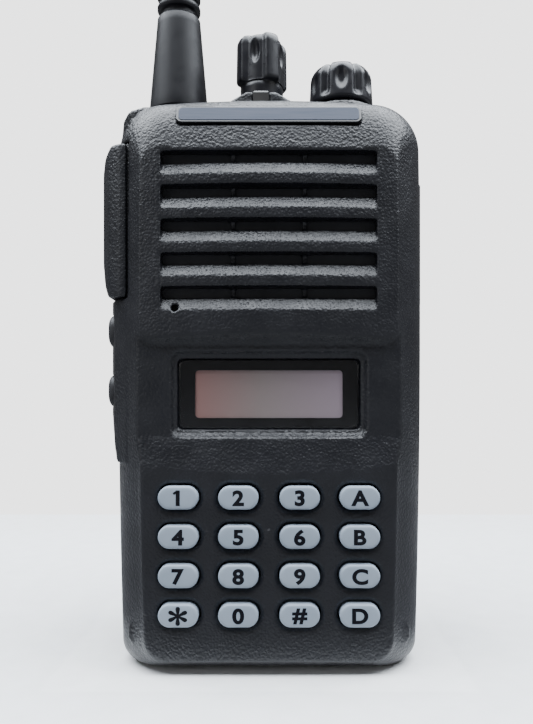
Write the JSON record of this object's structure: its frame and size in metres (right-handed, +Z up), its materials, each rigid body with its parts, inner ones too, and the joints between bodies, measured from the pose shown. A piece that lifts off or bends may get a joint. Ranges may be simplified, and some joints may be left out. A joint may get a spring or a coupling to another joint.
{
  "type": "handheld two-way radio",
  "caption": "Handheld two-way radio with antenna, rotary knobs, speaker louvres, display window, keypad, push-to-talk bar, battery pack and belt clip.",
  "frame": {"origin": "on the table under the middle of the case, in the plane between its front shell and the battery pack less 2 mm", "axes": "+Z up along the antenna, the front panel faces -Y, +X to the right as seen from the front"},
  "size_m": [0.0623, 0.0482, 0.25],
  "materials": {
    "case_black": "fine pebbled charcoal",
    "pack_black": "satin charcoal",
    "knob_black": "satin charcoal",
    "soft_black": "soft matte",
    "antenna_rubber": "satin",
    "badge_plate": "satin blue-grey",
    "window_clear": "clear, polished",
    "lcd_grey": "grey-green, unlit",
    "frame_white": "satin",
    "key_grey": "soft matte blue-grey",
    "lamp_amber": "smoked, polished",
    "steel": "satin",
    "nickel": "bright",
    "brass": "satin",
    "die_cast": "cast",
    "paper_black": "matte",
    "magnet": "plated",
    "board_green": "solder mask",
    "cell_foil": "foil sleeve",
    "seal_rubber": "soft",
    "contact_gold": "plated"
  },
  "bodies": {
    "radio": {"front_case": "case_black", "name_badge": "badge_plate", "window_lens": "window_clear", "lcd_module": "lcd_grey", "lcd_frame": "frame_white", "speaker_frame": "magnet", "speaker_cone": "paper_black", "speaker_mesh": "paper_black", "microphone": "nickel", "keypad_mat": "soft_black", "dome_sheet": "steel", "key_board": "board_green", "main_board": "board_green", "shield_cans": "nickel", "rear_chassis": "die_cast", "main_seal": "seal_rubber", "chassis_screws": "steel", "channel_switch": "magnet", "volume_control": "magnet", "control_nuts": "nickel", "led_lens": "lamp_amber", "antenna_jack": "brass", "side_switches": "board_green", "accessory_contacts": "paper_black", "battery_tray": "pack_black", "battery_cover": "pack_black", "battery_cells": "cell_foil", "battery_contacts": "contact_gold", "latch_spring": "steel", "belt_clip_base": "pack_black", "clip_pin": "steel", "clip_spring": "steel"},
    "channel": {"channel_knob": "knob_black", "channel_shaft": "nickel"},
    "volume": {"volume_knob": "knob_black", "volume_shaft": "nickel"},
    "antenna": {"antenna_whip": "antenna_rubber", "antenna_ferrule": "brass"},
    "ptt": {"ptt_button": "soft_black"},
    "side_upper": {"side_key_upper": "soft_black"},
    "side_lower": {"side_key_lower": "soft_black"},
    "side_flap": {"jack_cover": "soft_black"},
    "latch": {"battery_latch": "knob_black"},
    "clip": {"belt_clip_arm": "knob_black"},
    "key_1_body": {"key_1": "key_grey"},
    "key_2_body": {"key_2": "key_grey"},
    "key_3_body": {"key_3": "key_grey"},
    "key_a_body": {"key_a": "key_grey"},
    "key_4_body": {"key_4": "key_grey"},
    "key_5_body": {"key_5": "key_grey"},
    "key_6_body": {"key_6": "key_grey"},
    "key_b_body": {"key_b": "key_grey"},
    "key_7_body": {"key_7": "key_grey"},
    "key_8_body": {"key_8": "key_grey"},
    "key_9_body": {"key_9": "key_grey"},
    "key_c_body": {"key_c": "key_grey"},
    "key_star_body": {"key_star": "key_grey"},
    "key_0_body": {"key_0": "key_grey"},
    "key_hash_body": {"key_hash": "key_grey"},
    "key_d_body": {"key_d": "key_grey"}
  },
  "joints": [
    {"name": "channel_turn", "type": "hinge", "parent": "radio", "child": "channel", "pos_m": [-0.0016, -0.003, 0.112], "axis": [0, 0, -1], "range_deg": [0, 337.5]},
    {"name": "volume_turn", "type": "hinge", "parent": "radio", "child": "volume", "pos_m": [0.0146, -0.003, 0.112], "axis": [0, 0, -1], "range_deg": [0, 270]},
    {"name": "antenna_lift", "type": "slide", "parent": "radio", "child": "antenna", "axis": [0, 0, 1], "range_m": [0, 0.015]},
    {"name": "ptt_press", "type": "slide", "parent": "radio", "child": "ptt", "axis": [1, 0, 0], "range_m": [0, 0.0006], "stiffness_N_per_m": 1500},
    {"name": "side_upper_press", "type": "slide", "parent": "radio", "child": "side_upper", "axis": [1, 0, 0], "range_m": [0, 0.0007], "stiffness_N_per_m": 1200},
    {"name": "side_lower_press", "type": "slide", "parent": "radio", "child": "side_lower", "axis": [1, 0, 0], "range_m": [0, 0.0007], "stiffness_N_per_m": 1200},
    {"name": "side_flap_open", "type": "hinge", "parent": "radio", "child": "side_flap", "pos_m": [0.029, 0.0006, 0.081], "axis": [0, 0, 1], "range_deg": [0, 100]},
    {"name": "latch_slide", "type": "slide", "parent": "radio", "child": "latch", "axis": [0, 0, -1], "range_m": [0, 0.0025], "stiffness_N_per_m": 900, "springref_m": -0.001, "deforming": ["latch_spring"]},
    {"name": "clip_open", "type": "hinge", "parent": "radio", "child": "clip", "pos_m": [0, 0.025, 0.068], "axis": [1, 0, 0], "range_deg": [0, 15], "stiffness_Nm_per_rad": 0.4, "springref_deg": -11.46},
    {"name": "key_1_press", "type": "slide", "parent": "radio", "child": "key_1_body", "axis": [0, 1, 0], "range_m": [0, 0.0008], "stiffness_N_per_m": 1000},
    {"name": "key_2_press", "type": "slide", "parent": "radio", "child": "key_2_body", "axis": [0, 1, 0], "range_m": [0, 0.0008], "stiffness_N_per_m": 1000},
    {"name": "key_3_press", "type": "slide", "parent": "radio", "child": "key_3_body", "axis": [0, 1, 0], "range_m": [0, 0.0008], "stiffness_N_per_m": 1000},
    {"name": "key_a_press", "type": "slide", "parent": "radio", "child": "key_a_body", "axis": [0, 1, 0], "range_m": [0, 0.0008], "stiffness_N_per_m": 1000},
    {"name": "key_4_press", "type": "slide", "parent": "radio", "child": "key_4_body", "axis": [0, 1, 0], "range_m": [0, 0.0008], "stiffness_N_per_m": 1000},
    {"name": "key_5_press", "type": "slide", "parent": "radio", "child": "key_5_body", "axis": [0, 1, 0], "range_m": [0, 0.0008], "stiffness_N_per_m": 1000},
    {"name": "key_6_press", "type": "slide", "parent": "radio", "child": "key_6_body", "axis": [0, 1, 0], "range_m": [0, 0.0008], "stiffness_N_per_m": 1000},
    {"name": "key_b_press", "type": "slide", "parent": "radio", "child": "key_b_body", "axis": [0, 1, 0], "range_m": [0, 0.0008], "stiffness_N_per_m": 1000},
    {"name": "key_7_press", "type": "slide", "parent": "radio", "child": "key_7_body", "axis": [0, 1, 0], "range_m": [0, 0.0008], "stiffness_N_per_m": 1000},
    {"name": "key_8_press", "type": "slide", "parent": "radio", "child": "key_8_body", "axis": [0, 1, 0], "range_m": [0, 0.0008], "stiffness_N_per_m": 1000},
    {"name": "key_9_press", "type": "slide", "parent": "radio", "child": "key_9_body", "axis": [0, 1, 0], "range_m": [0, 0.0008], "stiffness_N_per_m": 1000},
    {"name": "key_c_press", "type": "slide", "parent": "radio", "child": "key_c_body", "axis": [0, 1, 0], "range_m": [0, 0.0008], "stiffness_N_per_m": 1000},
    {"name": "key_star_press", "type": "slide", "parent": "radio", "child": "key_star_body", "axis": [0, 1, 0], "range_m": [0, 0.0008], "stiffness_N_per_m": 1000},
    {"name": "key_0_press", "type": "slide", "parent": "radio", "child": "key_0_body", "axis": [0, 1, 0], "range_m": [0, 0.0008], "stiffness_N_per_m": 1000},
    {"name": "key_hash_press", "type": "slide", "parent": "radio", "child": "key_hash_body", "axis": [0, 1, 0], "range_m": [0, 0.0008], "stiffness_N_per_m": 1000},
    {"name": "key_d_press", "type": "slide", "parent": "radio", "child": "key_d_body", "axis": [0, 1, 0], "range_m": [0, 0.0008], "stiffness_N_per_m": 1000}
  ]
}
